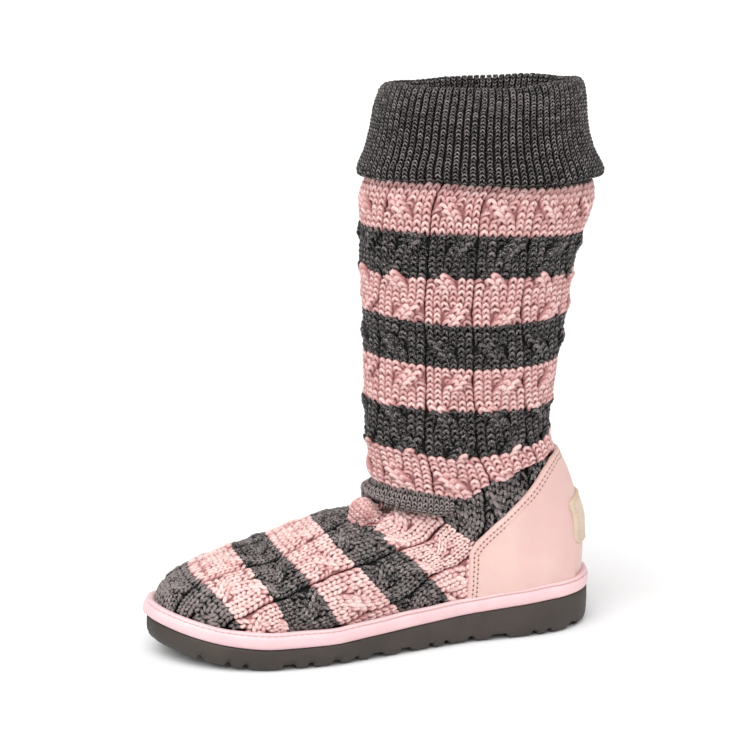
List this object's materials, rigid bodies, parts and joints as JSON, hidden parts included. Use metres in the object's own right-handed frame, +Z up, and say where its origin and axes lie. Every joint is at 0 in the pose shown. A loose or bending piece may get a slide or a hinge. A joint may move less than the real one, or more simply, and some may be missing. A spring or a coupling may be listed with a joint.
{
  "type": "knit boot",
  "caption": "Left pull-on boot with a striped cable-knit upper, a turned-down ribbed cuff, a leather heel counter and a lugged rubber sole.",
  "frame": {"origin": "on the ground, midway along the overall length and width of the boot", "axes": "+Z up the shaft, -X to the toe, -Y to the outer side of the left foot"},
  "size_m": [0.2656, 0.1094, 0.321],
  "materials": {
    "outsole": "matt moulded",
    "insole": "fleece",
    "knit_upper": "chunky striped knit",
    "rand": "smooth semi-matt",
    "heel_counter": "smooth semi-matt",
    "heel_patch": "matt",
    "rib_cuff": "ribbed knit"
  },
  "bodies": {
    "root": {"outsole": "outsole", "insole": "insole", "knit_upper": "knit_upper", "rand": "rand", "heel_counter": "heel_counter", "heel_patch": "heel_patch", "rib_cuff": "rib_cuff"}
  },
  "joints": []
}
